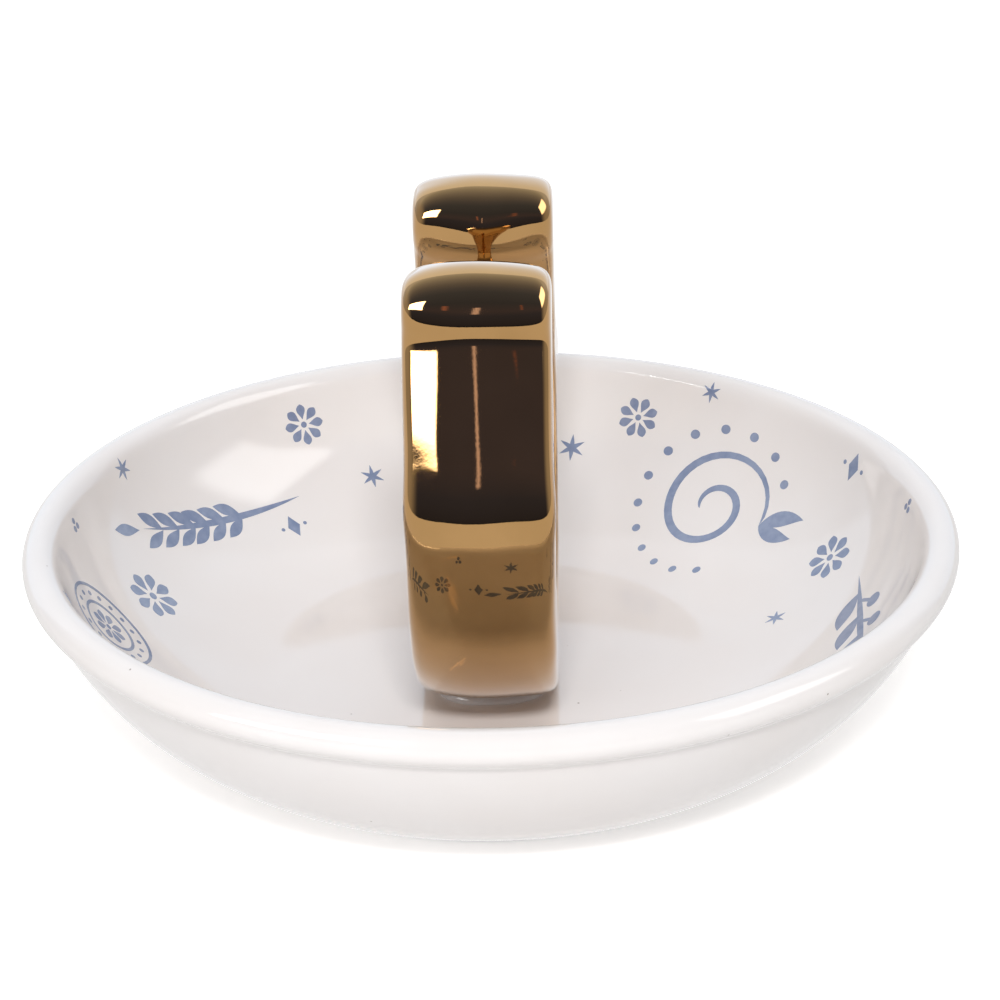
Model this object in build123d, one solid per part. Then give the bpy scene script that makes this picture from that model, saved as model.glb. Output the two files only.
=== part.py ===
from build123d import *
import os
from math import atan2, cos, degrees, radians, sin, sqrt

# Ring dish: a shallow round dish of glazed ceramic with an upright horseshoe in its centre.
# Rings go over the horseshoe's two arms, and small things lie in the dish.
# Millimetres, with +Z up. The origin is on the dish's axis, at the surface that it stands on.
# The horseshoe lies in the YZ plane with its open end up.

# Dish
dish_diameter = 102.0      # over the rim
dish_height = 22.5         # from the foot's underside to the rim's crest
rim_thickness = 4.0        # the rim is a full round of this thickness
floor_diameter = 48.0      # the flat part of the floor
floor_thickness = 2.8
belly_step = 1.7           # how far inside the rim the belly starts
belly_bulge = 2.3          # how far the belly stands out from a straight slope
groove_rounding = 1.0      # softens the step between the rim and the belly
foot_diameter = 64.0
foot_width = 3.2           # of the ring that the dish stands on
foot_height = 1.2          # from the foot's underside to the belly
foot_step = 1.2            # how far the foot stands in from the belly
foot_recess = 1.4          # how far the underside is raised inside the foot
foot_rounding = 0.5

# Horseshoe
shoe_width = 53.4          # over the widest part of the curve
shoe_thickness = 15.4      # across the plane that it lies in
shoe_flat = 4.4            # the short straight stretch that it stands on
band_width = 10.2          # in its own plane, from the inner curve to the outer one
arm_length = 15.75         # the straight stretch of each arm, up to its knob's centre
arm_lean = 24.0            # degrees that the arms lean towards each other from upright
knob_step = 0.7            # how far the knobs stand proud of the band, on each side
neck_rounding = 1.2        # softens the hollow between each knob and its arm
edge_rounding = 2.8        # along both faces of the band

# Adhesive bead
glue_film = 0.3            # between the horseshoe's underside and the dish's floor
bead_length = 18.4         # along the horseshoe
bead_width = 13.0          # across it
bead_height = 1.2
bead_corner = 4.6          # of its outline, seen from above
bead_rounding = 0.8        # of its upper edge

# A fillet stays inside this share of the wall that it rounds
fillet_limit_share = 0.9


def limited(rounding, *walls):
    """A rounding, cut down where half of a wall can't hold it."""
    return min([rounding] + [fillet_limit_share * wall / 2 for wall in walls])


def corner_at(outline, place):
    """The corner of a flat outline that lies nearest to a place."""
    return outline.vertices().sort_by_distance(place)[0]


def polar(centre, radius, angle):
    """The point at a radius and an angle, in radians, from a centre."""
    return (centre[0] + radius * cos(angle), centre[1] + radius * sin(angle))


# Dish: places on its profile, as distance from the axis and height
rim_radius = rim_thickness / 2
rim_centre = (dish_diameter / 2 - rim_radius, dish_height - rim_radius)
floor_height = foot_recess + floor_thickness
floor_edge = (floor_diameter / 2, floor_height)
foot_edge = foot_diameter / 2

# The inner wall is one arc that leaves the floor level and runs smoothly into the rim's round
wall_run = rim_centre[0] - floor_edge[0]
wall_rise = rim_centre[1] - floor_height
wall_radius = (wall_run ** 2 + wall_rise ** 2 - rim_radius ** 2) / (2 * (wall_rise + rim_radius))
wall_centre = (floor_edge[0], floor_height + wall_radius)
lip_angle = atan2(rim_centre[1] - wall_centre[1], wall_run)
lip = polar(wall_centre, wall_radius, lip_angle)

# The belly starts under the rim, on the rim's round
belly_top_offset = rim_radius - belly_step
belly_top = (rim_centre[0] + belly_top_offset, rim_centre[1] - sqrt(rim_radius ** 2 - belly_top_offset ** 2))
belly_foot = (foot_edge + foot_step, foot_height)


def make_dish():
    """The profile turned about the axis."""
    inner_wall = CenterArc(wall_centre, wall_radius, -90, degrees(lip_angle) + 90)
    rim = ThreePointArc(lip, (rim_centre[0], dish_height), belly_top)
    belly = SagittaArc(belly_top, belly_foot, belly_bulge)
    foot_inner = foot_edge - foot_width
    foot_top = (foot_edge, foot_height)
    foot_outer_corner = (foot_edge, 0)
    foot_inner_corner = (foot_inner, 0)
    foot_root = (foot_inner, foot_recess)
    underside = Polyline(belly_foot, foot_top, foot_outer_corner, foot_inner_corner, foot_root, (0, foot_recess))
    axis_line = Line((0, foot_recess), (0, floor_height))
    floor = Line((0, floor_height), floor_edge)
    profile = make_face(Curve() + [inner_wall, rim, belly, underside, axis_line, floor])
    profile = fillet(corner_at(profile, belly_top), groove_rounding)
    foot_fillet = limited(foot_rounding, foot_width, foot_height, foot_recess)
    for place in (foot_top, foot_outer_corner, foot_inner_corner, foot_root):
        profile = fillet(corner_at(profile, place), foot_fillet)
    return revolve(Plane.XZ * profile, Axis.Z)


# Horseshoe: places in its own plane, as distance along Y and height
shoe_base = floor_height + glue_film
outer_radius = (shoe_width - shoe_flat) / 2
half_band = band_width / 2
middle_radius = outer_radius - half_band
inner_radius = outer_radius - band_width
arc_centre = (shoe_flat / 2, shoe_base + outer_radius)
knob_radius = half_band + knob_step

# Each arm's middle line leaves the middle of the curve smoothly and ends at the knob's centre
arm_angle = radians(arm_lean)
arm_direction = (-sin(arm_angle), cos(arm_angle))
arm_root = polar(arc_centre, middle_radius, arm_angle)
knob_centre = (arm_root[0] + arm_length * arm_direction[0], arm_root[1] + arm_length * arm_direction[1])


def arm_place(offset, along):
    """A point beside the knob's centre: out from the arm's middle line, and up along the arm."""
    side = polar(knob_centre, offset, arm_angle)
    return (side[0] + along * arm_direction[0], side[1] + along * arm_direction[1])


# The knob's round crosses the two sides of its arm this far below the knob's centre
neck_drop = sqrt(knob_radius ** 2 - half_band ** 2)
outer_neck = arm_place(half_band, -neck_drop)
inner_neck = arm_place(-half_band, -neck_drop)


def make_shoe_outline():
    """Half of the band with its knob and rounded necks, and its mirror image."""
    outer_end = arm_place(half_band, 0)
    inner_end = arm_place(-half_band, 0)
    sweep = arm_lean + 90
    edges = [
        Line((0, shoe_base), (arc_centre[0], shoe_base)),
        CenterArc(arc_centre, outer_radius, -90, sweep),
        Line(polar(arc_centre, outer_radius, arm_angle), outer_end),
        Line(outer_end, inner_end),
        Line(inner_end, polar(arc_centre, inner_radius, arm_angle)),
        CenterArc(arc_centre, inner_radius, -90, sweep),
        Line((arc_centre[0], shoe_base + band_width), (0, shoe_base + band_width)),
        Line((0, shoe_base + band_width), (0, shoe_base)),
    ]
    half = make_face(Curve() + edges) + Pos(*knob_centre) * Circle(knob_radius)
    for neck in (outer_neck, inner_neck):
        half = fillet(corner_at(half, neck), neck_rounding)
    return half + mirror(half, Plane.YZ)


def make_horseshoe():
    """The outline given its thickness, with both of its faces rounded over at the edges."""
    band = extrude(Plane.YZ * make_shoe_outline(), shoe_thickness / 2, both=True)
    front = band.faces().sort_by(Axis.X)[-1]
    back = band.faces().sort_by(Axis.X)[0]
    return fillet(front.edges() + back.edges(), limited(edge_rounding, band_width, shoe_thickness))


def make_adhesive_bead(horseshoe):
    """A low pad on the dish's floor that the horseshoe's underside is pressed into."""
    corner = limited(bead_corner, bead_width, bead_length)
    outline = RectangleRounded(bead_width, bead_length, corner)
    pad = extrude(Pos(0, 0, floor_height) * outline, bead_height)
    pad = fillet(pad.faces().sort_by(Axis.Z)[-1].edges(), limited(bead_rounding, 2 * bead_height))
    return pad - horseshoe


def save(shape, name):
    """Writes one piece and prints its size."""
    shape.label = name
    size = shape.bounding_box().size
    export_step(shape, "parts/" + name + ".step")
    print(f"{name}: {size.X:.2f} x {size.Y:.2f} x {size.Z:.2f} mm, {shape.volume / 1000:.2f} cc")


os.makedirs("parts", exist_ok=True)
horseshoe = make_horseshoe()
save(make_dish(), "dish")
save(horseshoe, "horseshoe")
save(make_adhesive_bead(horseshoe), "adhesive_bead")
print(f"inner wall radius {wall_radius:.2f} mm, knob centres {2 * knob_centre[0]:.2f} mm apart")
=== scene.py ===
import bmesh
import bpy
import numpy as np
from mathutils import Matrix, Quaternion, Vector


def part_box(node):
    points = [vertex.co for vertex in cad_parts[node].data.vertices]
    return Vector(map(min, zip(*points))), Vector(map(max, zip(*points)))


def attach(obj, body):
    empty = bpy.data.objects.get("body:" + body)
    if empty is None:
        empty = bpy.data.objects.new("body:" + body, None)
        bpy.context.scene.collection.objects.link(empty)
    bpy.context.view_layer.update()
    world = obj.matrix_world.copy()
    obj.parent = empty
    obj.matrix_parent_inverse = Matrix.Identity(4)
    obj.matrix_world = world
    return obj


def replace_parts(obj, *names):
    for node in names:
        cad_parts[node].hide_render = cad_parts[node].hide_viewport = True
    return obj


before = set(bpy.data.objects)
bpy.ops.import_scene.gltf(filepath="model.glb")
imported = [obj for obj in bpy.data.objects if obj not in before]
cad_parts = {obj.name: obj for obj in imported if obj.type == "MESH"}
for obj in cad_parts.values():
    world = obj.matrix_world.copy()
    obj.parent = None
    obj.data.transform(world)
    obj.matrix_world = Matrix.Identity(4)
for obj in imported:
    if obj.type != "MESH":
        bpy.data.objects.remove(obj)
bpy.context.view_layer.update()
mm = 0.001  # the shapes and looks below give lengths in millimetres
mergeWithin = 1e-6  # metres: corners this close become one


# Colours and nodes

def colour(hexCode):
    # sRGB hex to linear: a plain division near black, a power curve above it
    s = np.array([int(hexCode[i:i + 2], 16) / 255 for i in (1, 3, 5)])
    rgb = np.where(s <= 0.04045, s / 12.92, ((s + 0.055) / 1.055) ** 2.4)
    return (*rgb, 1.0)


def addNode(tree, kind, inputs=None, stops=(), **settings):
    # adds a node, sets its options and a colour ramp's stops of (place, colour), and sets or links each
    # input that is named or numbered. A Mix node has its two colours at the numbers 6 and 7
    node = tree.nodes.new("ShaderNode" + kind)
    for name, value in settings.items():
        setattr(node, name, value)
    if stops:
        elements = node.color_ramp.elements
        while len(elements) < len(stops):
            elements.new(1.0)
        for element, (place, tone) in zip(elements, stops):
            element.position = place
            element.color = tone
    for name, value in (inputs or {}).items():
        if isinstance(value, bpy.types.NodeSocket):
            tree.links.new(value, node.inputs[name])
        else:
            node.inputs[name].default_value = value
    return node


def newMaterial(name):
    # an empty material, and the node tree to build it in
    material = bpy.data.materials.new(name)
    material.use_nodes = True
    material.node_tree.nodes.clear()
    return material, material.node_tree


# Lines and surfaces

def unitAt(angles):
    # steps of length 1 at angles in radians
    return np.stack([np.cos(angles), np.sin(angles)], -1)


def arc(centre, radius, start, end, count):
    # points on a circle from one angle to another, in degrees
    return np.array(centre) + radius * unitAt(np.radians(np.linspace(start, end, count)))


def bulged(start, end, bulge, count):
    # points on the circle through two ends that stands out from their straight line by the bulge
    start, end = np.array(start, float), np.array(end, float)
    chord = end - start
    half = np.hypot(*chord) / 2
    radius = (half ** 2 + bulge ** 2) / (2 * bulge)
    side = np.array([-chord[1], chord[0]]) / (2 * half)
    centre = (start + end) / 2 - side * (radius - bulge)
    reach = np.arcsin(half / radius)
    middle = np.arctan2(side[1], side[0])
    return centre + radius * unitAt(np.linspace(middle + reach, middle - reach, count))


def evenly(points, spacing):
    # the same line with its points a fixed distance apart
    along = np.concatenate([[0], np.cumsum(np.linalg.norm(np.diff(points, axis=0), axis=1))])
    at = np.linspace(0, along[-1], int(round(along[-1] / spacing)) + 1)
    return np.stack([np.interp(at, along, column) for column in points.T], 1)


def averaged(padded, width, spacing):
    # each point becomes the bell-curve average of its neighbours, so that corners round over
    reach = int(3 * width / spacing)
    bell = np.exp(-0.5 * (np.arange(-reach, reach + 1) * spacing / width) ** 2)
    return np.stack([np.convolve(column, bell / bell.sum(), "valid") for column in padded.T], 1)


def spreadRows(line, count, flatStep, bendStep=7):
    # picks points of a line: about the flat step apart where it runs straight, and closer where it bends,
    # so that the bend step, in degrees, weighs as much as the flat one
    step = np.diff(line, axis=0)
    heading = np.unwrap(np.arctan2(step[:, 1], step[:, 0]))
    length = np.linalg.norm(step, axis=1)
    turn = np.abs(np.gradient(heading))
    weight = np.concatenate([[0], np.cumsum(length / flatStep + turn / np.radians(bendStep))])
    at = np.interp(np.linspace(0, weight[-1], count), weight, np.arange(len(line)))
    return np.stack([np.interp(at, np.arange(len(line)), column) for column in line.T], 1)


def gridFaces(rows, columns, wrapRows, wrapColumns, start=0):
    # corner numbers of the quads between the rows and columns of a grid of points
    i, j = np.arange(rows - (not wrapRows)), np.arange(columns - (not wrapColumns))
    i, j = np.meshgrid(i, j, indexing="ij")
    up, right = (i + 1) % rows, (j + 1) % columns
    quads = np.stack([i * columns + j, up * columns + j, up * columns + right, i * columns + right], -1)
    return start + quads.reshape(-1, 4)


def addObject(name, data):
    thing = bpy.data.objects.new(name, data)
    bpy.context.scene.collection.objects.link(thing)
    return thing


def makePiece(name, grids, material, sharpAngle=None):
    # joins grids of points, each (rows x columns x 3, wraps its rows, wraps its columns), into one piece
    points, faces, start = [], [], 0
    for grid, wrapRows, wrapColumns in grids:
        points.append(grid.reshape(-1, 3))
        faces.append(gridFaces(*grid.shape[:2], wrapRows, wrapColumns, start))
        start += len(points[-1])
    mesh = bpy.data.meshes.new(name)
    mesh.from_pydata(np.vstack(points), [], np.vstack(faces))
    shell = bmesh.new()
    shell.from_mesh(mesh)
    bmesh.ops.remove_doubles(shell, verts=shell.verts, dist=mergeWithin)
    bmesh.ops.recalc_face_normals(shell, faces=shell.faces)
    shell.to_mesh(mesh)
    shell.free()
    mesh.shade_smooth()
    if sharpAngle:
        mesh.set_sharp_from_angle(angle=np.radians(sharpAngle))
    piece = addObject(name, mesh)
    mesh.materials.append(material)
    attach(piece, "root")
    print(f"{name}: {sum(len(f.vertices) - 2 for f in mesh.polygons)} triangles")
    return piece


# White glaze: a glassy coat over warm white earthenware, dipped and fired, so it is smooth and
# wet-looking, with a faint orange-peel swell, a slightly darker, warmer tone towards the bottom and in
# soft clouds, and a few tiny iron specks

glazeLook = {
    "white": "#F7F3F2", "lowTone": "#EFE6E1", "speck": "#7A6453", "roughness": 0.07, "ior": 1.52,
    "swell": 3.0, "swellDepth": 0.004,
    # the darker, warmer low tone: its share at the foot, the height where that ends, and its clouds
    "lowToneShare": 0.75, "lowToneHeight": 9.0,
    "cloud": 14.0, "cloudFrom": 0.35, "cloudTo": 0.7, "cloudShare": 0.25,
    # the specks: the distance between cells, their size, the dark core's part of it, how strongly they
    # show, and the part of the cells that has none
    "speckSpacing": 5.0, "speckSize": 0.16, "speckCore": 0.4, "speckShare": 0.8, "speckless": 0.5,
}


def faintSwell(tree, size, depth):
    # a surface that rises and falls by the depth, in soft humps of the size
    place = addNode(tree, "TexCoord").outputs["Object"]
    humps = addNode(tree, "TexNoise", {"Vector": place, "Scale": 1 / (size * mm), "Detail": 1.0})
    bump = addNode(tree, "Bump", {"Height": humps.outputs["Fac"], "Distance": depth * mm})
    return bump.outputs["Normal"]


def glazeSurface(tree, base):
    # the glassy surface that the glaze has over whatever colour lies in it
    look = glazeLook
    return addNode(tree, "BsdfPrincipled", {
        "Base Color": base, "Roughness": look["roughness"], "IOR": look["ior"],
        "Normal": faintSwell(tree, look["swell"], look["swellDepth"]),
    }).outputs["BSDF"]


def whiteGlaze():
    # the darker, warmer low tone fades upwards from the foot and shows in soft clouds. A speck is a dot
    # at the middle of a cell, where the cell's own chance value is high
    look = glazeLook
    material, tree = newMaterial("whiteGlazedEarthenware")
    place = addNode(tree, "TexCoord").outputs["Object"]
    height = addNode(tree, "SeparateXYZ", {"Vector": place}).outputs["Z"]
    low = addNode(tree, "MapRange", {
        "Value": height, "From Min": 0.0, "From Max": look["lowToneHeight"] * mm,
        "To Min": look["lowToneShare"], "To Max": 0.0,
    }, interpolation_type="SMOOTHSTEP")
    cloud = addNode(tree, "TexNoise", {"Vector": place, "Scale": 1 / (look["cloud"] * mm), "Detail": 2.0})
    warm = addNode(tree, "MapRange", {
        "Value": cloud.outputs["Fac"], "From Min": look["cloudFrom"], "From Max": look["cloudTo"],
        "To Min": 0.0, "To Max": look["cloudShare"],
    })
    lowTone = addNode(tree, "Math", {0: low.outputs[0], 1: warm.outputs[0]},
                     operation="ADD", use_clamp=True)
    tone = addNode(tree, "Mix", {
        0: lowTone.outputs[0], 6: colour(look["white"]), 7: colour(look["lowTone"]),
    }, data_type="RGBA")
    cells = addNode(tree, "TexVoronoi", {"Vector": place, "Scale": 1 / (look["speckSpacing"] * mm)})
    edge = look["speckSize"] / look["speckSpacing"]
    near = addNode(tree, "MapRange", {
        "Value": cells.outputs["Distance"], "From Min": look["speckCore"] * edge, "From Max": edge,
        "To Min": look["speckShare"], "To Max": 0.0,
    })
    chance = addNode(tree, "SeparateColor", {"Color": cells.outputs["Color"]}).outputs["Red"]
    chosen = addNode(tree, "Math", {0: chance, 1: look["speckless"]}, operation="GREATER_THAN")
    speck = addNode(tree, "Math", {0: near.outputs[0], 1: chosen.outputs[0]}, operation="MULTIPLY")
    base = addNode(tree, "Mix", {0: speck.outputs[0], 6: tone.outputs[2], 7: colour(look["speck"])},
                   data_type="RGBA")
    addNode(tree, "OutputMaterial", {"Surface": glazeSurface(tree, base.outputs[2])})
    return material


# Blue underglaze print: cobalt blue printed on the biscuit under the same glaze, so it has the
# glaze's shine, and its colour is a little uneven where the print took up less

printLook = {
    "blue": "#7F8DAE", "pale": "#98A4C0", "grain": 1.2, "patch": 9.0, "paleFrom": 0.75, "paleTo": 1.25,
}


def blueUnderglaze():
    # a fine grain and broad patches, added up, lead from the blue to the pale tone
    look = printLook
    material, tree = newMaterial("blueUnderglazePrint")
    place = addNode(tree, "TexCoord").outputs["Object"]
    grain = addNode(tree, "TexNoise", {"Vector": place, "Scale": 1 / (look["grain"] * mm), "Detail": 3.0})
    patch = addNode(tree, "TexNoise", {"Vector": place, "Scale": 1 / (look["patch"] * mm), "Detail": 1.0})
    both = addNode(tree, "Math", {0: grain.outputs["Fac"], 1: patch.outputs["Fac"]}, operation="ADD")
    share = addNode(tree, "MapRange", {"Value": both.outputs[0], "From Min": look["paleFrom"],
                                       "From Max": look["paleTo"]})
    tone = addNode(tree, "ValToRGB", {"Fac": share.outputs[0]},
                   [(0.0, colour(look["blue"])), (1.0, colour(look["pale"]))])
    addNode(tree, "OutputMaterial", {"Surface": glazeSurface(tree, tone.outputs["Color"])})
    return material


# Bright gold lustre: a film of real gold fired on to glaze, so it mirrors like polished metal, with
# faint clouding where the film is thinner. The film is so thin that the glaze's own clear shine joins
# in at a slant, which turns its borders pale

goldLook = {
    "gold": "#B98D51", "deep": "#AF8448", "roughness": 0.03, "clouded": 0.055, "shineIor": 1.5,
    "grain": 0.4, "grainDepth": 0.0009,
    # the clouds: their size, and where in them the tone and the roughness change
    "cloud": 7.0, "goldAt": 0.35, "deepAt": 0.75, "smoothAt": 0.45, "cloudedAt": 0.8,
}


def goldLustre():
    # the same clouds lead from the gold to the deep tone and from smooth to clouded, under a clear coat
    look = goldLook
    material, tree = newMaterial("brightGoldLustre")
    place = addNode(tree, "TexCoord").outputs["Object"]
    cloud = addNode(tree, "TexNoise", {"Vector": place, "Scale": 1 / (look["cloud"] * mm), "Detail": 3.0})
    tone = addNode(tree, "ValToRGB", {"Fac": cloud.outputs["Fac"]},
                   [(look["goldAt"], colour(look["gold"])), (look["deepAt"], colour(look["deep"]))])
    rough = addNode(tree, "MapRange", {
        "Value": cloud.outputs["Fac"], "From Min": look["smoothAt"], "From Max": look["cloudedAt"],
        "To Min": look["roughness"], "To Max": look["clouded"],
    })
    grained = faintSwell(tree, look["grain"], look["grainDepth"])
    surface = addNode(tree, "BsdfPrincipled", {
        "Base Color": tone.outputs["Color"], "Metallic": 1.0, "Roughness": rough.outputs[0],
        "Normal": grained, "Coat Weight": 1.0, "Coat Roughness": look["roughness"],
        "Coat IOR": look["shineIor"], "Coat Normal": grained,
    })
    addNode(tree, "OutputMaterial", {"Surface": surface.outputs["BSDF"]})
    return material


# Set clear adhesive: a hard resin with a glassy skin, slightly grey and cloudy

glueLook = {
    "grey": "#E2DDDB", "roughness": 0.08, "ior": 1.5, "clear": 0.15, "swell": 2.5, "swellDepth": 0.03,
}


def clearAdhesive():
    look = glueLook
    material, tree = newMaterial("setClearAdhesive")
    surface = addNode(tree, "BsdfPrincipled", {
        "Base Color": colour(look["grey"]), "Roughness": look["roughness"], "IOR": look["ior"],
        "Transmission Weight": look["clear"],
        "Normal": faintSwell(tree, look["swell"], look["swellDepth"]),
    })
    addNode(tree, "OutputMaterial", {"Surface": surface.outputs["BSDF"]})
    return material


# Dish: a profile turned about the axis. Its corners are averaged over a short distance, as glaze
# flows over them

dishHigh = np.array(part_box("dish")[1]) / mm
dishShape = {
    "rimThickness": 4.0, "floorDiameter": 48.0, "floorHeight": 4.2, "bellyStep": 1.7, "bellyBulge": 2.3,
    "footDiameter": 64.0, "footWidth": 3.2, "footHeight": 1.2, "footStep": 1.2, "footRecess": 1.4,
    "glazeRounding": 0.6, "wallPoints": 120, "rimPoints": 80, "bellyPoints": 80, "spacing": 0.05,
    "rows": 210, "rowStep": 1.0, "columns": 360, "outOfRound": 0.0012, "outOfRoundTurn": 0.7,
}


def dishProfile():
    # distance from the axis and height, from the middle of the floor over the rim to the underside
    d = dishShape
    rim = d["rimThickness"] / 2
    rimAt = np.array([dishHigh[0] - rim, dishHigh[2] - rim])
    floorEdge = np.array([d["floorDiameter"] / 2, d["floorHeight"]])
    run, rise = rimAt - floorEdge
    wallRadius = (run ** 2 + rise ** 2 - rim ** 2) / (2 * (rise + rim))
    wallAt = floorEdge + [0, wallRadius]
    lip = np.degrees(np.arctan2(rimAt[1] - wallAt[1], run))
    bellyOut = rim - d["bellyStep"]
    bellyTop = rimAt + [bellyOut, -np.sqrt(rim ** 2 - bellyOut ** 2)]
    foot = d["footDiameter"] / 2
    inner = foot - d["footWidth"]
    bellyAngle = np.degrees(np.arctan2(bellyTop[1] - rimAt[1], bellyOut))
    corners = np.array([[foot, d["footHeight"]], [foot, 0], [inner, 0], [inner, d["footRecess"]],
                        [0, d["footRecess"]]])
    raw = np.vstack([
        [[0, d["floorHeight"]]],
        arc(wallAt, wallRadius, -90, lip, d["wallPoints"]),
        arc(rimAt, rim, lip + 180, bellyAngle, d["rimPoints"]),
        bulged(bellyTop, (foot + d["footStep"], d["footHeight"]), d["bellyBulge"], d["bellyPoints"]),
        corners,
    ])
    line = evenly(raw, d["spacing"])
    reach = int(3 * d["glazeRounding"] / d["spacing"])
    mirrored = line * [-1, 1]
    padded = np.vstack([mirrored[reach:0:-1], line, mirrored[-2:-reach - 2:-1]])
    line = averaged(padded, d["glazeRounding"], d["spacing"])
    line[[0, -1], 0] = 0
    line[:, 1] -= line[:, 1].min()
    return line


profile = dishProfile()


def outOfRound(turn):
    # the radius's share at a turn in radians, which swells and shrinks a little twice round the dish
    return 1 - dishShape["outOfRound"] * (0.5 + 0.5 * np.cos(2 * turn + dishShape["outOfRoundTurn"]))


def makeDish(material):
    # every row of the profile goes round the axis: radius times cosine, radius times sine, height
    d = dishShape
    rows = spreadRows(profile, d["rows"], d["rowStep"])
    turn = np.linspace(0, 2 * np.pi, d["columns"], endpoint=False)
    r = rows[:, :1] * outOfRound(turn)
    z = np.broadcast_to(rows[:, 1:], r.shape)
    grid = np.stack([r * np.cos(turn), r * np.sin(turn), z], -1) * mm
    return makePiece("dish_glazed", [(grid, False, True)], material)


# Horseshoe: a rounded section carried round the outline of a bent band with a knob at each end

shoeLow, shoeHigh = (np.array(corner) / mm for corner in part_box("horseshoe"))
shoeShape = {
    "flat": 4.4, "band": 10.2, "armLength": 15.9, "frontArmLength": 15.73, "frontFullness": 0.05,
    "armLean": 24.0, "outerStep": 0.7, "innerStep": 0.34, "neckRounding": 0.5, "squareness": 7.2,
    # shares of the half width by which the section falls off to both faces
    "armCrown": 0.17, "innerCrown": 0.03, "crownPower": 2.0, "lopsided": 0.4, "innerRoof": 0.27,
    "innerRidge": 0.11,
    # along a knob, by the degrees from outward that it faces: crown, its power, roof's share, ridge width
    "knobCrown": ([-24, 15, 32, 60, 90, 120, 150, 172, 204],
                  [0.13, 0.08, 0.04, 0.09, 0.15, 0.12, 0.12, 0.03, 0.03]),
    "knobPower": ([100, 140], [2.0, 6.0]),
    "knobRoof": ([60, 150, 172, 190], [0.0, 0.3, 0.75, 1.0]),
    "knobRidge": ([100, 150, 178, 190], [0.5, 0.08, 0.06, 0.11]),
    "bulge": 0.24, "bulgeHeight": 34.0, "bulgeWidth": 3.0, "unevenness": 0.06, "waveLength": 9.0,
    "spacing": 0.05, "arcStep": 9, "armStep": 5, "sectionPoints": 6001, "columns": 74, "columnStep": 0.12,
    "aside": -0.15, "tilt": -0.5,
}


def shoeHalf(armLength, fullness):
    # right half of the outline, from the middle of the base round the arm to the middle of the inner
    # curve. Columns: the outline's place (y, z), the place on the band's middle line that it belongs
    # to, its crown, its roof, its ridge's width and its crown's power. The outer and inner sides have
    # the same middle places, in turned order
    s = shoeShape
    half = s["band"] / 2
    knob = half + (s["outerStep"] + s["innerStep"]) / 2
    outward = (s["outerStep"] - s["innerStep"]) / 2
    outer = shoeHigh[1] - s["flat"] / 2
    at = np.array([s["flat"] / 2, shoeLow[2] + outer])
    lean = np.radians(s["armLean"])
    out, up = unitAt(lean), np.array([-np.sin(lean), np.cos(lean)])
    middle = outer - half
    knobAt = at + (middle + outward) * out + armLength * up
    reach = np.array([half - outward, half + outward])
    neck = np.sqrt(knob ** 2 - reach ** 2)
    neckAngle = np.degrees(np.arctan2(neck, reach))

    def count(length):
        return int(length / s["spacing"])

    flat = np.linspace(0, s["flat"] / 2, count(s["flat"] / 2), endpoint=False)[:, None] * [1, 0]
    turn = np.radians(np.linspace(-90, s["armLean"], count(middle * (lean + np.pi / 2)), endpoint=False))
    curve = unitAt(turn)
    armEnd = armLength - neck[0]
    run = np.linspace(0, armEnd, count(s["armLength"]))[:, None] * up
    sides = [np.vstack([flat + [0, at[1] - r], at + r * curve, at + r * out + run])
             for r in (outer, middle, outer - s["band"])]
    ends = s["armLean"] - neckAngle[0], s["armLean"] + 180 + neckAngle[1]
    knobArc = arc(knobAt, knob, *ends, count(knob * np.radians(ends[1] - ends[0])))
    innerEnd = np.linspace(knobArc[-1], sides[2][-1], count(neck[0] - neck[1]))[1:]
    tip = np.vstack([knobArc, innerEnd])
    facing = np.concatenate([np.linspace(*ends, len(knobArc)), np.full(len(innerEnd), ends[1])])
    shoulder = np.radians(np.clip(facing - s["armLean"], 0, 90))
    tip = knobAt + (tip - knobAt) * (1 + fullness * np.sin(2 * shoulder) ** 2)[:, None]
    crown, roof, ridge, power = (np.interp(facing, *s[name])
                                 for name in ("knobCrown", "knobRoof", "knobRidge", "knobPower"))
    rest = np.ones(len(sides[0]))
    restPower = rest * s["crownPower"]
    outerSide = np.column_stack([sides[0], sides[1], rest * s["armCrown"], rest * 0, rest, restPower])
    knobSide = np.column_stack([tip, np.broadcast_to(knobAt, tip.shape), crown, roof * s["innerRoof"],
                                ridge, power])
    innerSide = np.column_stack([sides[2], sides[1], rest * s["innerCrown"], rest * s["innerRoof"],
                                 rest * s["innerRidge"], restPower])
    return np.vstack([outerSide, knobSide, innerSide[::-1]]), len(flat) + len(turn)


def shoeOutline():
    # both halves, averaged along the line so that necks and corners flow, then thinned the same way on
    # the outer and the inner side, so that both meet at the same places of the middle line. The front
    # knob has a fuller shoulder than the rear one
    s = shoeShape
    half, arcRows = shoeHalf(s["armLength"], 0)
    frontHalf, _ = shoeHalf(s["frontArmLength"], s["frontFullness"])
    line = np.vstack([half, (frontHalf * [-1, 1, -1, 1, 1, 1, 1, 1])[-2:0:-1]])
    reach = int(3 * s["neckRounding"] / s["spacing"])
    line = averaged(np.vstack([line[-reach:], line, line[:reach]]), s["neckRounding"], s["spacing"])
    last = len(half) - 1
    arcKept, armKept = np.arange(0, arcRows, s["arcStep"]), np.arange(arcRows, last // 2, s["armStep"])
    keep = np.concatenate([arcKept, armKept])
    keep = np.concatenate([keep, last - keep[::-1]])
    return line[np.concatenate([keep, 2 * last - keep[-2:0:-1]])]


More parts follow.
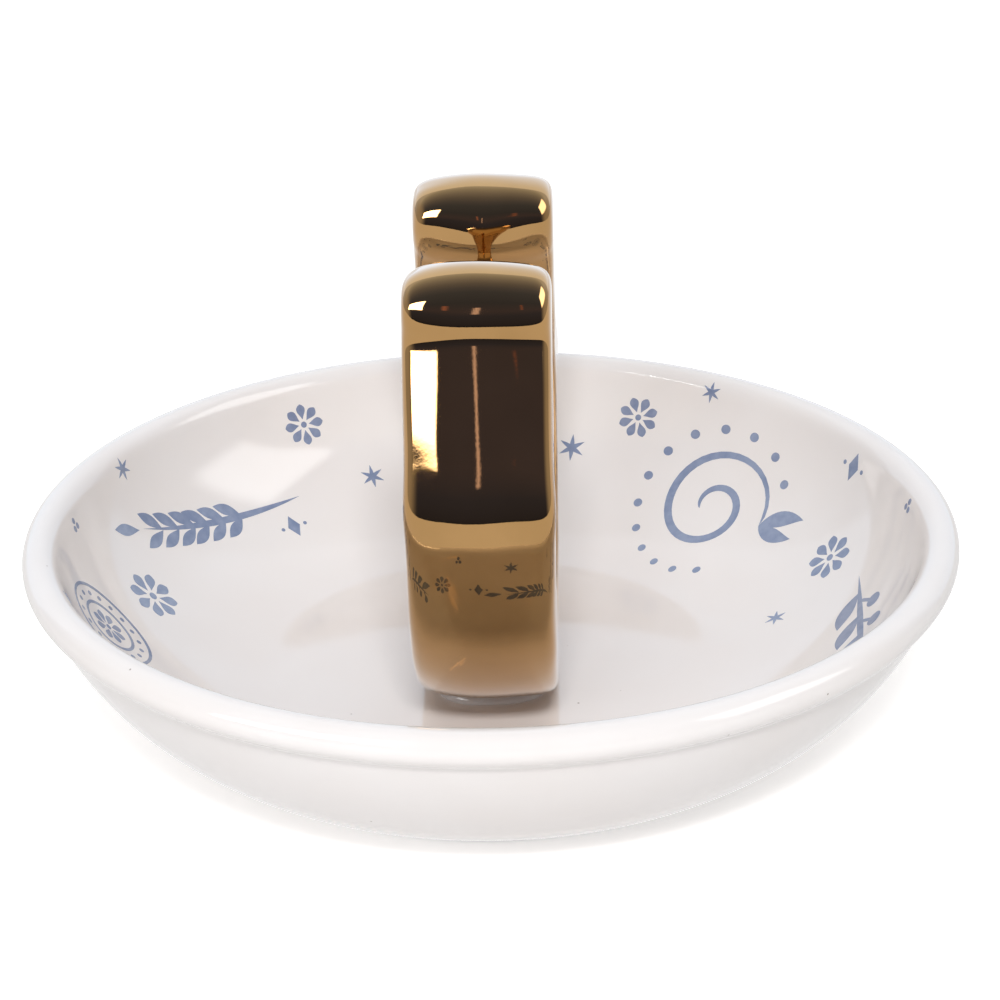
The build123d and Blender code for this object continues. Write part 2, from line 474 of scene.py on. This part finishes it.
def shoeSection():
    # shares of the half width and of the half thickness, from one face's middle to the other's: a
    # rounded square, u = |cos a|^(2/n) and v = |sin a|^(2/n) with the sine's sign, with its columns close
    # together at the corners
    s = shoeShape
    a = np.linspace(-np.pi / 2, np.pi / 2, s["sectionPoints"])
    v = np.sign(np.sin(a)) * np.abs(np.sin(a)) ** (2 / s["squareness"])
    u = np.abs(np.cos(a)) ** (2 / s["squareness"])
    return spreadRows(np.stack([u, v], 1), s["columns"], s["columnStep"])


def unevenness(points, waveLength):
    # the mean of slow sine waves in several directions, from -1 to 1, that hand finishing leaves
    waves = np.array([[0.9, 0.3, 0.2], [-0.4, 0.8, 0.5], [0.3, -0.5, 0.9], [0.7, 0.6, -0.6],
                      [1.3, -0.2, 0.7]])
    phases = np.array([0.4, 1.9, 3.1, 4.4, 5.2])
    return np.sin(points @ (waves.T * 2 * np.pi / waveLength) + phases).mean(-1)


def makeHorseshoe(material):
    # a point lies between the middle line and the outline by the section's share of the width, and out
    # to the side by its share of the thickness. The width falls off to both faces: by a crown on the
    # outer side, steeper to the left, and by a roof with a rounded ridge on the inner side. The whole
    # then swells unevenly, bulges outwards at one height, and leans to the side
    s = shoeShape
    line, section = shoeOutline(), shoeSection()
    edge, middle = line[:, None, :2], line[:, None, 2:4]
    u, v = section[:, 0], section[:, 1]
    crowned = np.abs(v) ** line[:, 7:8] * (1 - s["lopsided"] * v)
    roofed = np.sqrt(v ** 2 + line[:, 6:7] ** 2) - line[:, 6:7]
    width = u * (1 - line[:, 4:5] * crowned - line[:, 5:6] * roofed)
    halfThick = (shoeHigh[0] - shoeLow[0]) / 2
    flat = middle + (edge - middle) * width[..., None]
    grid = np.concatenate([np.broadcast_to(v[:, None] * halfThick, flat.shape[:2] + (1,)), flat], -1)
    swell = 1 - s["unevenness"] / halfThick * (1 + unevenness(grid, s["waveLength"]))[..., None]
    halfBand = s["band"] / 2
    outside = np.clip(np.abs(flat[..., :1]) - np.abs(middle[..., :1]), 0, None) / halfBand
    bulge = s["bulge"] / halfBand * np.exp(-((flat[..., 1:] - s["bulgeHeight"]) / s["bulgeWidth"]) ** 2)
    swell = swell + bulge * np.clip(outside, 0, 1)
    grid = np.concatenate([grid[..., :1] * swell, middle + (flat - middle) * swell], -1)
    grid[..., 0] += s["aside"] + (grid[..., 2] - shoeLow[2]) * np.sin(np.radians(s["tilt"]))
    return makePiece("horseshoe_lustred", [(grid * mm, True, False)], material)


# Adhesive bead: a low pad with a soft edge, squeezed out all round the horseshoe's underside

beadLow, beadHigh = (np.array(corner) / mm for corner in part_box("adhesive_bead"))
beadShape = {
    "squareness": 3.2, "topInset": 0.13, "uneven": 0.04, "rows": 40, "flatRows": 12, "columns": 120,
}


def makeBead(material):
    # rounded-square rings: flat underneath, then steeply up as a quarter of a sine, and level on top
    b = beadShape
    turn = np.linspace(0, 2 * np.pi, b["columns"], endpoint=False)
    way = unitAt(turn)
    outline = np.sign(way) * np.abs(way) ** (2 / b["squareness"]) * beadHigh[:2]
    outline *= (1 - b["uneven"] * (0.5 + 0.5 * np.sin(3 * turn + 1) * np.cos(2 * turn)))[:, None]
    rise = np.linspace(0, np.pi / 2, b["rows"])
    edge = 1 - b["topInset"] * (1 - np.cos(rise))
    under = np.linspace(0, 1, b["flatRows"])[:-1]
    top = np.linspace(edge[-1], 0, b["flatRows"])[1:]
    share = np.concatenate([under, edge, top])
    height = np.concatenate([np.zeros(len(under)), np.sin(rise), np.ones(len(top))])
    height = beadLow[2] + height * (beadHigh[2] - beadLow[2])
    level = np.broadcast_to(height[:, None, None], (len(height), len(turn), 1))
    grid = np.concatenate([share[:, None, None] * outline[None], level], -1)
    return makePiece("adhesive_squeezed", [(grid * mm, False, True)], material)


# Print: marks with two pointed or rounded ends, laid on the inner wall. A mark is a line in a flat
# drawing, in millimetres, with its half width at each point

# from: the share of the wall's line where the print starts
printShape = {"lift": 0.03, "sink": 0.05, "across": 3, "from": 0.42, "sharpAngle": 40}
rimRow = int(np.argmax(profile[:, 1]))
wallLine = profile[:rimRow + 1]
wallAlong = np.concatenate([[0], np.cumsum(np.linalg.norm(np.diff(wallLine, axis=0), axis=1))])
wallNormal = np.gradient(wallLine, axis=0) @ np.array([[0, 1], [-1, 0]])
wallNormal /= np.linalg.norm(wallNormal, axis=1)[:, None]


def onWall(around, along, lift):
    # a place on the inner wall: degrees round the dish, distance from the middle along the wall, and lift
    at = [np.interp(along, wallAlong, column) for column in (*wallLine.T, *wallNormal.T)]
    turn = np.radians(around)
    r = at[0] * outOfRound(turn) + at[2] * lift
    return np.stack([r * np.cos(turn), r * np.sin(turn), at[1] + at[3] * lift], -1)


def curvedLine(start, heading, length, bend, count=14):
    # a line of even curvature: it sets out at the heading and has turned by the bend at its end
    share = np.linspace(0, 1, count)
    steps = unitAt(np.radians(heading + bend * share)) * length / (count - 1)
    return np.array(start) + np.vstack([[0, 0], np.cumsum((steps[:-1] + steps[1:]) / 2, axis=0)])


def leaf(start, heading, length, width, bend=0.0, fullest=0.45):
    # both ends pointed, widest at the fullest share of its length
    line = curvedLine(start, heading, length, bend)
    t = np.linspace(0, 1, len(line))
    half = width / 2 * np.sin(np.pi * t ** (np.log(0.5) / np.log(fullest)))
    return line, half


def petal(start, heading, length, width):
    # narrow at the start and round at the end
    t = np.linspace(0, 1, 12) ** 0.7
    line = np.array(start) + np.outer(t * length, unitAt(np.radians(heading)))
    half = width / 2 * np.sin(np.pi * t ** 1.6) ** 0.75
    return line, half


def dot(centre, radius):
    # a level line that is widened to a circle
    a = np.linspace(np.pi, 0, 9)
    line = np.array(centre) + np.outer(radius * np.cos(a), [1, 0])
    return line, radius * np.sin(a)


def stroke(line, width):
    # an even stroke with rounded ends
    t = np.linspace(0, 1, len(line))
    return line, width / 2 * (1 - np.abs(2 * t - 1) ** 8) ** 0.5


def ring(centre, radius, width, count=36):
    # an even stroke that closes on itself
    a = np.linspace(0, 2 * np.pi, count, endpoint=False)
    return np.array(centre) + radius * unitAt(a), np.full(count, width / 2)


def daisy(size):
    # eight round petals about a dot
    marks = [petal(0.26 * size * unitAt(a), np.degrees(a), 0.74 * size, 0.44 * size)
             for a in np.radians(np.arange(0, 360, 45))]
    return marks + [dot((0, 0), 0.15 * size)]


def sparkle(size):
    # six thin rays
    return [leaf(-size * unitAt(a), np.degrees(a), 2 * size, 0.36 * size, fullest=0.5)
            for a in np.radians([30, 90, 150])]


def lozenge(size):
    # an upright diamond with a dot at each side
    t = np.linspace(-1, 1, 9)
    body = np.outer(t * size, [0, 1]), 0.55 * size * (1 - np.abs(t))
    return [body, dot((1.05 * size, 0), 0.16 * size), dot((-1.05 * size, 0), 0.16 * size)]


def berries(size):
    # three dots close together
    return [dot(0.6 * size * unitAt(a), 0.42 * size) for a in np.radians([90, 210, 330])]


def wheat(size):
    # a bent stem with pairs of plump grains that lean forward, and one at the tip
    rise, bend, count = -14, 34, 60
    stem = curvedLine((-size / 2, 0), rise, size, bend, count)
    marks = [leaf(stem[0], rise, size * 0.97, 0.035 * size, bend)]
    for share in np.arange(0.36, 0.95, 0.1):
        heading = rise + bend * share
        place = stem[int(share * (count - 1))]
        for side in (-1, 1):
            marks.append(leaf(place, heading + side * 42, 0.16 * size, 0.058 * size, -side * 18, 0.55))
    return marks + [leaf(stem[-1], rise + bend, 0.17 * size, 0.06 * size, 0, 0.55)]


def tendril(size):
    # a spiral that tightens as it winds in, with dots along its outside and two leaves at its foot
    t = np.linspace(0, 1, 60)
    eye = [0.25 * size, 0]
    r = 0.42 * size * (1 - 0.82 * t)
    line = r[:, None] * unitAt(np.radians(200 - 560 * t)) + eye
    half = 0.028 * size * np.sin(np.pi * np.clip(t * 0.97 + 0.03, 0, 1)) ** 0.5
    half[[0, -1]] = 0
    dots = [dot(0.52 * size * unitAt(a) + eye, 0.03 * size) for a in np.radians(np.arange(-100, 170, 22))]
    foot = line[0]
    return [(line, half), leaf(foot, 150, 0.34 * size, 0.11 * size, 40),
            leaf(foot, 215, 0.3 * size, 0.1 * size, -40)] + dots


def medallion(size):
    # two rings with dots between them, and a daisy inside
    dots = [dot(0.8 * size * unitAt(a), 0.055 * size)
            for a in np.linspace(0, 2 * np.pi, 16, endpoint=False)]
    rings = [ring((0, 0), size * r, 0.07 * size) for r in (1.0, 0.6)]
    return rings + dots + daisy(0.42 * size)


def berryTwig(size):
    # a bent twig with leaves on one side and berries on short stalks on the other
    rise, bend, count = 18, -40, 30
    stem = curvedLine((-size / 2, 0), rise, size, bend, count)
    marks = [leaf(stem[0], rise, size * 0.99, 0.04 * size, bend)]
    for k in range(4, 28, 6):
        heading = rise + bend * k / (count - 1)
        marks.append(leaf(stem[k], heading + 50, 0.27 * size, 0.1 * size, -45, 0.5))
        stalk = curvedLine(stem[k + 2], heading - 48, 0.13 * size, 0, 6)
        marks.append(stroke(stalk, 0.022 * size))
        marks.append(dot(stalk[-1], 0.045 * size))
    return marks


# motif, degrees round the dish from +X, share of the way up the wall, size in mm, turn in degrees
printPlaces = [
    (medallion, 188, 0.62, 5.8, 0), (wheat, 143, 0.6, 25, 8), (daisy, 169, 0.5, 3.3, 10),
    (sparkle, 156, 0.9, 1.4, 0), (berries, 174, 0.88, 0.9, 0), (daisy, 121, 0.8, 2.5, 0),
    (lozenge, 130, 0.44, 1.5, 0), (sparkle, 112, 0.56, 1.5, 0), (daisy, 102, 0.74, 2.4, 0),
    (berries, 94, 0.5, 0.8, 30), (lozenge, 86, 0.74, 1.9, 0), (sparkle, 78, 0.64, 1.7, 0),
    (daisy, 68, 0.78, 2.5, 20), (tendril, 44, 0.56, 19, -20), (sparkle, 57, 0.92, 1.3, 0),
    (lozenge, 27, 0.86, 1.7, 0), (daisy, 20, 0.56, 3.0, 0), (berryTwig, -6, 0.6, 23, 180),
    (berries, 9, 0.9, 0.9, 0), (sparkle, 15, 0.28, 1.3, 0), (medallion, -36, 0.64, 5.2, 0),
    (sparkle, -20, 0.88, 1.3, 0), (daisy, 207, 0.6, 2.9, 0), (lozenge, 200, 0.9, 1.6, 0),
    (sparkle, 216, 0.84, 1.3, 0), (berryTwig, 234, 0.6, 22, 0), (daisy, 256, 0.7, 2.7, 0),
    (lozenge, 268, 0.66, 1.7, 0), (berries, 262, 0.9, 0.9, 0), (wheat, 289, 0.62, 22, 172),
    (sparkle, 277, 0.86, 1.3, 0), (daisy, 311, 0.62, 2.8, 0), (berries, 303, 0.88, 0.9, 0),
]


def makePrint(name, motifs, material):
    # every mark is a thin closed shell: its line widened to both sides, above and below the glaze
    p = printShape
    across = np.linspace(-1, 1, p["across"])
    side = np.concatenate([across, across[::-1]])
    lift = np.repeat([p["lift"], -p["sink"]], p["across"])
    upFrom = wallAlong[-1] * p["from"]
    grids = []
    for motif, around, up, size, turn in printPlaces:
        if motif not in motifs:
            continue
        along = upFrom + up * (wallAlong[-1] - upFrom)
        radius = np.interp(along, wallAlong, wallLine[:, 0])
        a = np.radians(turn)
        spin = np.array([unitAt(a), [-np.sin(a), np.cos(a)]])
        for line, half in motif(size):
            closed = half[0] > 0 and half[-1] > 0
            ends = np.vstack([line[-1:], line, line[:1]]) if closed else line
            run = np.gradient(ends, axis=0)[1:-1] if closed else np.gradient(line, axis=0)
            normal = np.stack([-run[:, 1], run[:, 0]], 1) / np.linalg.norm(run, axis=1)[:, None]
            flat = (line[:, None] + normal[:, None] * (half[:, None] * side)[..., None]) @ spin
            grid = onWall(around + np.degrees(flat[..., 0] / radius), along + flat[..., 1], lift)
            grids.append((grid * mm, closed, True))
    return makePiece(name, grids, material, sharpAngle=p["sharpAngle"])


glaze, blue, gold, glue = whiteGlaze(), blueUnderglaze(), goldLustre(), clearAdhesive()
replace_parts(makeDish(glaze), "dish")
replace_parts(makeHorseshoe(gold), "horseshoe")
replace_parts(makeBead(glue), "adhesive_bead")
makePrint("print_blossoms", (daisy, medallion), blue)
makePrint("print_twigs", (wheat, tendril, berryTwig), blue)
makePrint("print_sparkles", (sparkle, lozenge, berries), blue)
print("object done")


# Studio: a white floor and background, soft light from all round, and two lamps in front. Mirror-like
# surfaces see a room: dark in front of the object, grey to the sides, white behind, with two windows

studio = {
    "ambient": 0.25, "overLight": 0.8, "overRise": 130, "overPower": 4.0,
    "floorSide": 2.0, "floorFront": 0.65, "floorBelow": 0.02, "floorColour": "#F3F2F1", "floorGlow": 0.55,
    "floorMirrored": 0.93,
    # degrees over the top from the front horizon, and the room's colour there
    "room": [(-8, "#14161C"), (0, "#383C52"), (17, "#3F4561"), (26, "#4F5069"), (40, "#454E68"),
             (60, "#505B77"), (70, "#616A86"), (81, "#798197"), (93, "#97A0B5"), (106, "#B8C4D3"),
             (116, "#DAE7F9")],
    # grey from how far aside, and white from how far back, where height counts for its share
    "sideFrom": 0.72, "sideGrey": 0.5, "whiteFrom": 0.64, "whiteSoft": 0.01, "whiteUp": 0.25,
    "behind": (1.15, 1.3, 1.5, 1.0),
}
# a window lies in an upright plane one unit away, which faces its turn in degrees from the front: the
# middle and the reach across and up, and how bright mirrors see it
windows = [
    {"facing": 0, "across": -1.31, "acrossReach": 0.88, "up": 0.8, "upReach": 0.345, "soft": 0.02,
     "seen": (12, 12, 12)},
    {"facing": 90, "across": -0.25, "acrossReach": 0.4, "up": 0.8, "upReach": 0.37, "soft": 0.06,
     "seen": (4, 4, 4)},
    # a thin lamp stand and two small red lights at the front
    {"facing": 0, "across": -0.04, "acrossReach": 0.009, "up": 0.51, "upReach": 0.12, "soft": 0.007,
     "seen": (1.0, 0.85, 1.05)},
    {"facing": 0, "across": -0.14, "acrossReach": 0.008, "up": 0.62, "upReach": 0.1, "soft": 0.012,
     "seen": (0.6, 0.28, 0.25)},
    {"facing": 0, "across": 0.17, "acrossReach": 0.008, "up": 0.62, "upReach": 0.12, "soft": 0.012,
     "seen": (0.36, 0.17, 0.15)},
]
# place and size in metres, and power in watts
lamps = {
    "front": {"at": (0.03, -0.71, 0.67), "wide": 0.2, "high": 0.12, "power": 5.3},
    "strip": {"at": (-0.75, -1.0, 0.66), "wide": 0.9, "high": 0.3, "power": 3.0},
}


def within(tree, value, middle, reach, soft):
    # 1 where a value lies within the reach of the middle, falling to 0 over a soft edge
    off = addNode(tree, "Math", {0: value, 1: middle}, operation="SUBTRACT")
    off = addNode(tree, "Math", {0: off.outputs[0]}, operation="ABSOLUTE")
    return addNode(tree, "MapRange", {
        "Value": off.outputs[0], "From Min": reach - soft, "From Max": reach + soft,
        "To Min": 1.0, "To Max": 0.0,
    }).outputs[0]


def windowShare(tree, way, window):
    # 1 where a direction passes through a window. In its plane, a place is what the direction goes across
    # and up, divided by what it goes forward
    turn = np.radians(window["facing"])
    axes = [(np.sin(turn), -np.cos(turn), 0), (np.cos(turn), np.sin(turn), 0), (0, 0, 1)]
    dots = [addNode(tree, "VectorMath", {0: way, 1: axis}, operation="DOT_PRODUCT") for axis in axes]
    forward, across, up = (node.outputs["Value"] for node in dots)
    share = addNode(tree, "Math", {0: forward, 1: 0.0}, operation="GREATER_THAN").outputs[0]
    for value, name in ((across, "across"), (up, "up")):
        place = addNode(tree, "Math", {0: value, 1: forward}, operation="DIVIDE").outputs[0]
        inside = within(tree, place, window[name], window[name + "Reach"], window["soft"])
        share = addNode(tree, "Math", {0: share, 1: inside}, operation="MULTIPLY").outputs[0]
    return share


def makeWorld():
    # white light, mostly from above and behind: an even part, and one that grows with a power of how
    # near a direction is to the brightest one. The camera sees white, and mirrors see the room: its tone
    # goes over the top from the front, turns grey to the sides and white behind, with the windows
    world = bpy.data.worlds.new("studioWhite")
    bpy.context.scene.world = world
    world.use_nodes = True
    tree = world.node_tree
    tree.nodes.clear()
    place = addNode(tree, "TexCoord").outputs["Generated"]
    way = addNode(tree, "SeparateXYZ", {"Vector": place})
    front = addNode(tree, "Math", {0: way.outputs["Y"], 1: -1.0}, operation="MULTIPLY")
    over = addNode(tree, "Math", {0: way.outputs["Z"], 1: front.outputs[0]}, operation="ARCTAN2")
    first, last = (np.radians(studio["room"][k][0]) for k in (0, -1))
    share = addNode(tree, "MapRange", {"Value": over.outputs[0], "From Min": first, "From Max": last})
    stops = [((np.radians(angle) - first) / (last - first), colour(tone))
             for angle, tone in studio["room"]]
    seen = addNode(tree, "ValToRGB", {"Fac": share.outputs[0]}, stops).outputs["Color"]
    aside = addNode(tree, "Math", {0: way.outputs["X"]}, operation="ABSOLUTE")
    sideShare = addNode(tree, "MapRange", {
        "Value": aside.outputs[0], "From Min": studio["sideFrom"], "From Max": 1.0,
    }, interpolation_type="SMOOTHSTEP").outputs[0]
    behind = addNode(tree, "Math", {0: way.outputs["Z"], 1: studio["whiteUp"], 2: way.outputs["Y"]},
                     operation="MULTIPLY_ADD")
    whiteShare = addNode(tree, "MapRange", {
        "Value": behind.outputs[0], "From Min": studio["whiteFrom"] - studio["whiteSoft"],
        "From Max": studio["whiteFrom"] + studio["whiteSoft"],
    }).outputs[0]
    layers = [(sideShare, (*[studio["sideGrey"]] * 3, 1)), (whiteShare, studio["behind"])]
    for window in windows:
        layers.append((windowShare(tree, place, window), (*window["seen"], 1)))
    for share, tone in layers:
        seen = addNode(tree, "Mix", {0: share, 6: seen, 7: tone}, data_type="RGBA").outputs[2]
    rise = np.radians(studio["overRise"])
    toLight = addNode(tree, "VectorMath", {0: place, 1: (0, -np.cos(rise), np.sin(rise))},
                      operation="DOT_PRODUCT")
    toLight = addNode(tree, "Math", {0: toLight.outputs["Value"], 1: 0.0}, operation="MAXIMUM")
    toLight = addNode(tree, "Math", {0: toLight.outputs[0], 1: studio["overPower"]}, operation="POWER")
    level = addNode(tree, "Math", {0: toLight.outputs[0], 1: studio["overLight"], 2: studio["ambient"]},
                    operation="MULTIPLY_ADD")
    light = addNode(tree, "Background", {"Color": (1, 1, 1, 1), "Strength": level.outputs[0]})
    white = addNode(tree, "Background", {"Color": (1, 1, 1, 1), "Strength": 1.0})
    mirrored = addNode(tree, "Background", {"Color": seen, "Strength": 1.0})
    # after a matt bounce mirrors see the plain light, so that the room only shows and lights nothing
    path = addNode(tree, "LightPath")
    unscattered = addNode(tree, "Math", {0: path.outputs["Diffuse Depth"], 1: 0.5}, operation="LESS_THAN")
    asMirror = addNode(tree, "Math", {0: path.outputs["Is Glossy Ray"], 1: unscattered.outputs[0]},
                       operation="MULTIPLY")
    mix = addNode(tree, "MixShader", {
        0: asMirror.outputs[0], 1: light.outputs[0], 2: mirrored.outputs[0],
    })
    clear = addNode(tree, "Math", {
        0: path.outputs["Is Camera Ray"], 1: path.outputs["Is Transmission Ray"],
    }, operation="ADD", use_clamp=True)
    mix = addNode(tree, "MixShader", {0: clear.outputs[0], 1: mix.outputs[0], 2: white.outputs[0]})
    addNode(tree, "OutputWorld", {"Surface": mix.outputs[0]})


def makeFloor():
    # paper that keeps the object's shadow. A glow lifts it to white where the camera sees it
    material, tree = newMaterial("whiteSweepPaper")
    paper = addNode(tree, "BsdfDiffuse", {"Color": colour(studio["floorColour"])})
    glow = addNode(tree, "Emission", {"Color": (1, 1, 1, 1), "Strength": studio["floorGlow"]})
    seen = addNode(tree, "AddShader", {0: paper.outputs[0], 1: glow.outputs[0]})
    mirrored = addNode(tree, "Emission", {"Color": (1, 1, 1, 1), "Strength": studio["floorMirrored"]})
    path = addNode(tree, "LightPath")
    mix = addNode(tree, "MixShader", {
        0: path.outputs["Is Camera Ray"], 1: paper.outputs[0], 2: seen.outputs[0],
    })
    mix = addNode(tree, "MixShader", {
        0: path.outputs["Is Glossy Ray"], 1: mix.outputs[0], 2: mirrored.outputs[0],
    })
    addNode(tree, "OutputMaterial", {"Surface": mix.outputs[0]})
    side, front = studio["floorSide"], studio["floorFront"]
    mesh = bpy.data.meshes.new("sweep_floor")
    corners = [(-side, -front), (side, -front), (side, side), (-side, side)]
    mesh.from_pydata([(x, y, -studio["floorBelow"] * mm) for x, y in corners], [], [(0, 1, 2, 3)])
    mesh.materials.append(material)
    floor = addObject("sweep_floor", mesh)


def makeLamp(name, setting):
    # a soft oblong lamp, aimed at the object. Mirrors see the windows instead of it
    data = bpy.data.lights.new("lamp_" + name, "AREA")
    data.shape, data.energy = "RECTANGLE", setting["power"]
    data.size, data.size_y = setting["wide"], setting["high"]
    lamp = addObject("lamp_" + name, data)
    lamp.location = setting["at"]
    lamp.rotation_mode = "QUATERNION"
    lamp.rotation_quaternion = (-Vector(setting["at"])).to_track_quat("-Z", "Y")
    lamp.visible_glossy = False


makeWorld()
makeFloor()
for lampName, lampSetting in lamps.items():
    makeLamp(lampName, lampSetting)
print("studio done")


# Camera: aimed at the axis, near the height of the rim. Angles are in degrees, lengths in millimetres

view = {
    "turn": 1.7, "rise": 24.71, "away": 365.0, "roll": -1.04, "aimHeight": 20.5,
    "lens": 120.17, "sensor": 36.0, "shiftX": 0.0096, "shiftY": 0.0343,
    "clipNear": 0.01, "clipFar": 20.0,  # in metres
}


def makeCamera():
    data = bpy.data.cameras.new("camera")
    data.lens, data.sensor_width = view["lens"], view["sensor"]
    data.shift_x, data.shift_y = view["shiftX"], view["shiftY"]
    data.clip_start, data.clip_end = view["clipNear"], view["clipFar"]
    camera = addObject("camera", data)
    turn, rise = np.radians([view["turn"], view["rise"]])
    back = Vector((np.sin(turn) * np.cos(rise), -np.cos(turn) * np.cos(rise), np.sin(rise)))
    camera.location = Vector((0, 0, view["aimHeight"] * mm)) + back * view["away"] * mm
    camera.rotation_mode = "QUATERNION"
    roll = Quaternion((0, 0, 1), np.radians(view["roll"]))
    camera.rotation_quaternion = (-back).to_track_quat("-Z", "Y") @ roll
    bpy.context.scene.camera = camera


makeCamera()
bpy.context.scene.view_settings.view_transform = "Standard"
